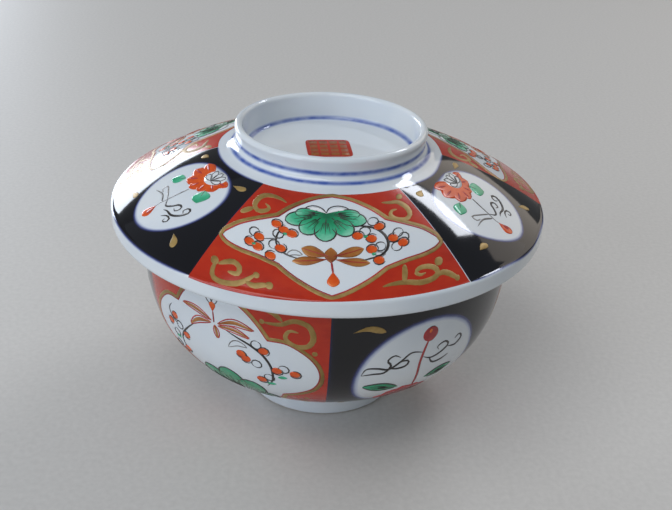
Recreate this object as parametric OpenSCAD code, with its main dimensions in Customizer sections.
// Lidded porcelain rice bowl: an open bowl on a foot ring, and a cap lid with a ring knob.
// Two fired pieces. The lid rests by its sloping underside on the bowl's lip and lifts straight off.
// Millimetres, +Z up. The origin is the middle of the foot ring, on the table.

/* [Bowl] */
// Outer diameter of the bowl's mouth
mouth_d = 101; // [98:0.5:103]
// Height of the bowl from the table to the top of its lip
bowl_h = 59; // [54:0.5:64]
// Thickness of the lip, which is fully rounded
lip_t = 2.4; // [2:0.1:3]
// Thickness of the bowl's floor
floor_t = 4; // [3:0.1:5]
// How full the lower wall is: larger swells the belly outwards
belly = 27.7; // [22:0.1:30]

/* [Foot ring] */
// Outer diameter of the foot ring where it meets the table
foot_d = 44; // [40:0.5:46]
// Height of the hollow inside the foot ring
foot_h = 5.4; // [4:0.1:6]
// Width of the foot ring
foot_w = 3.2; // [2.6:0.1:4]

/* [Lid] */
// Outer diameter of the lid
lid_d = 115; // [112:0.5:118]
// Height of the lid from its rim to the top of the knob ring
lid_h = 24.6; // [23.6:0.1:26]
// Height of the upright band around the rim
band_h = 4.6; // [4:0.1:5.4]
// Thickness of the lid's wall, and of its fully rounded rim
lid_t = 2.6; // [2.2:0.1:3]
// Radius of the dome between the band and the knob
dome_r = 104.7; // [100:0.5:110]

/* [Knob ring] */
// Outer diameter of the knob ring at its lip
knob_d = 50.4; // [48:0.2:52]
// Depth of the hollow inside the knob ring
knob_depth = 7.4; // [6.6:0.1:7.8]
// Thickness of the knob ring's lip, which is fully rounded
knob_t = 2.1; // [1.8:0.1:2.4]

/* [Fit] */
// Gap between the bowl's lip and the lid's underside, square to both
seat_gap = 0.15; // [0.1:0.05:0.3]

/* [Hidden] */

turn_fn = 240;                    // facets of the turned surfaces on screen
foot_round = 0.9;                 // rounding of the foot ring's two lower edges
foot_top = [foot_d / 2 + 2, foot_h + 2];  // where the foot ring runs into the bowl's wall
wall_start = 30;                  // slope of the wall where it leaves the foot, degrees
wall_end = 87.8;                  // slope of the wall at the lip, degrees
wall_pull = 31.9;                 // length of upper wall that follows the lip's slope
lip_c = [mouth_d / 2 - lip_t / 2, bowl_h - lip_t / 2];
inner_top = lip_c[0] - lip_t / 2;
inner_lean = 1.6;                 // how far the inside leans in over the upper wall
inner_drop = 38;                  // length of upper inside that follows that lean
inner_flat = 18;                  // how far inside the lip the floor's curve starts
hollow_round = 2;                 // size of the fillet at the top of the foot's hollow
hollow_slack = 0.6;               // how soft that fillet is
foot_waist = 3;                   // height at which the foot ring starts to flare into the wall

seat_slope = 29;                  // slope of the lid's underside where the lip meets it
seat_in = 44;                     // inner radius of that straight slope
seat_r = 49;                      // radius at which the wall above the slope is measured
seat_t = 3;                       // thickness of the wall there
shoulder_r = 1;                   // rounding between the band and the dome
lid_in = lid_d / 2 - lid_t;       // inner radius of the band
crown_h = lid_h - knob_depth;     // height of the hollow's floor above the rim
crown_t = 3.2;                    // thickness of the lid's middle
knob_in = knob_d / 2 - knob_t;
neck_r = knob_d / 2 - 0.5;        // the knob ring's narrowest outer radius
knob_floor_r = knob_in - 0.5;     // the hollow narrows towards its floor
knob_fillet = 2;                  // size of the fillet round the hollow's floor
skirt_in = lid_in - 1.5;          // outer radius of the straight slope
crown_flat = 8;                   // radius of the flat middle of the underside
crown_pull = 30;                  // how far the underside stays nearly flat
seat_pull = 7;                    // how far the straight slope is felt towards the middle
flare_w = 2.1;                    // how far the knob ring's foot spreads onto the dome
flare_in = [-1.6, 0.7];           // direction in which the dome turns up into the knob ring
neck_low = 1.2;                   // height over the flare at which the ring turns upright
neck_high = 2.8;                  // height over the flare at which it is upright

// Height of the dome's centre above the rim, so that the dome meets the shoulder
shoulder_in = lid_d / 2 - shoulder_r;
dome_z = band_h + 0.4 - sqrt(dome_r * dome_r - shoulder_in * shoulder_in);
function dome_at(r) = dome_z + sqrt(dome_r * dome_r - r * r);

// Underside of the lid: a straight slope one wall thickness below the dome
seat_z = dome_at(seat_r) - seat_t / cos(seat_slope);
function slope_at(r) = seat_z + (seat_r - r) * tan(seat_slope);

// Lift the lid until its slope clears the rounded lip by the gap
lid_z = lip_c[1] + (lip_t / 2 + seat_gap) / cos(seat_slope) - slope_at(lip_c[0]);

// A cubic curve from a to d that leaves towards b and arrives from c
function curve(a, b, c, d, n = 24) = [
    for (i = [0 : n]) let (t = i / n, s = 1 - t)
        s * s * s * a + 3 * s * s * t * b + 3 * s * t * t * c + t * t * t * d
];

// Points along an arc about c from angle a0 to a1
function arc(c, r, a0, a1, n = 12) = [
    for (i = [0 : n]) let (a = a0 + (a1 - a0) * i / n) c + r * [cos(a), sin(a)]
];

module bowl() {
    foot_out = foot_d / 2;
    foot_in = foot_out - foot_w;
    wall = curve(foot_top,
                 foot_top + belly * [cos(wall_start), sin(wall_start)],
                 lip_c + [lip_t / 2, 0] - wall_pull * [cos(wall_end), sin(wall_end)],
                 lip_c + [lip_t / 2, 0], 36);
    inside = curve([inner_top, lip_c[1]],
                   [inner_top - inner_lean, lip_c[1] - inner_drop],
                   [inner_top - inner_flat, foot_h + floor_t],
                   [0, foot_h + floor_t], 36);
    outline = concat(
        [[0, foot_h]],
        curve([foot_in - hollow_round, foot_h], [foot_in - hollow_slack, foot_h],
              [foot_in, foot_h - hollow_slack], [foot_in, foot_h - hollow_round], 6),
        arc([foot_in + foot_round, foot_round], foot_round, 180, 270, 6),
        arc([foot_out - foot_round, foot_round], foot_round, 270, 360, 6),
        curve([foot_out, foot_waist], [foot_out + 0.2, foot_waist + 2],
              [foot_out + 0.6, foot_h + 1.2], foot_top, 8),
        [for (i = [1 : len(wall) - 1]) wall[i]],
        [for (p = arc(lip_c, lip_t / 2, 0, 180, 16)) if (p[1] > lip_c[1] + 0.01) p],
        inside);
    color("white")
        rotate_extrude($fn = turn_fn)
            polygon(outline);
}

module lid() {
    rim_c = [lid_d / 2 - lid_t / 2, lid_t / 2];
    knob_c = [knob_d / 2 - knob_t / 2, lid_h - knob_t / 2];
    flare_r = knob_d / 2 + flare_w;
    flare = [flare_r, dome_at(flare_r)];
    dome = [for (i = [0 : 24]) let (r = shoulder_in + (flare_r - shoulder_in) * i / 24) [r, dome_at(r)]];
    outline = concat(
        [[0, crown_h - crown_t]],
        curve([crown_flat, crown_h - crown_t], [crown_pull, crown_h - crown_t],
              [seat_in - seat_pull, slope_at(seat_in) + seat_pull * tan(seat_slope)],
              [seat_in, slope_at(seat_in)], 20),
        curve([skirt_in, slope_at(skirt_in)],
              [skirt_in + 1, slope_at(skirt_in + 1)],
              [lid_in, slope_at(skirt_in) - 1], [lid_in, slope_at(skirt_in) - 2.2], 8),
        arc(rim_c, lid_t / 2, 180, 360, 16),
        curve([lid_d / 2, band_h - 0.8], [lid_d / 2, band_h],
              [lid_d / 2 - 0.3, dome_at(shoulder_in) - 0.2], dome[0], 8),
        [for (i = [1 : len(dome) - 1]) dome[i]],
        curve(flare, flare + flare_in, [neck_r, flare[1] + neck_low], [neck_r, flare[1] + neck_high], 8),
        arc(knob_c, knob_t / 2, 0, 180, 16),
        curve([knob_floor_r, crown_h + 1.8], [knob_floor_r - 0.1, crown_h + 0.5],
              [knob_floor_r - 0.6, crown_h], [knob_floor_r - knob_fillet, crown_h], 6),
        [[0, crown_h]]);
    color("firebrick")
        translate([0, 0, lid_z])
            rotate_extrude($fn = turn_fn)
                polygon(outline);
}

bowl();
lid();
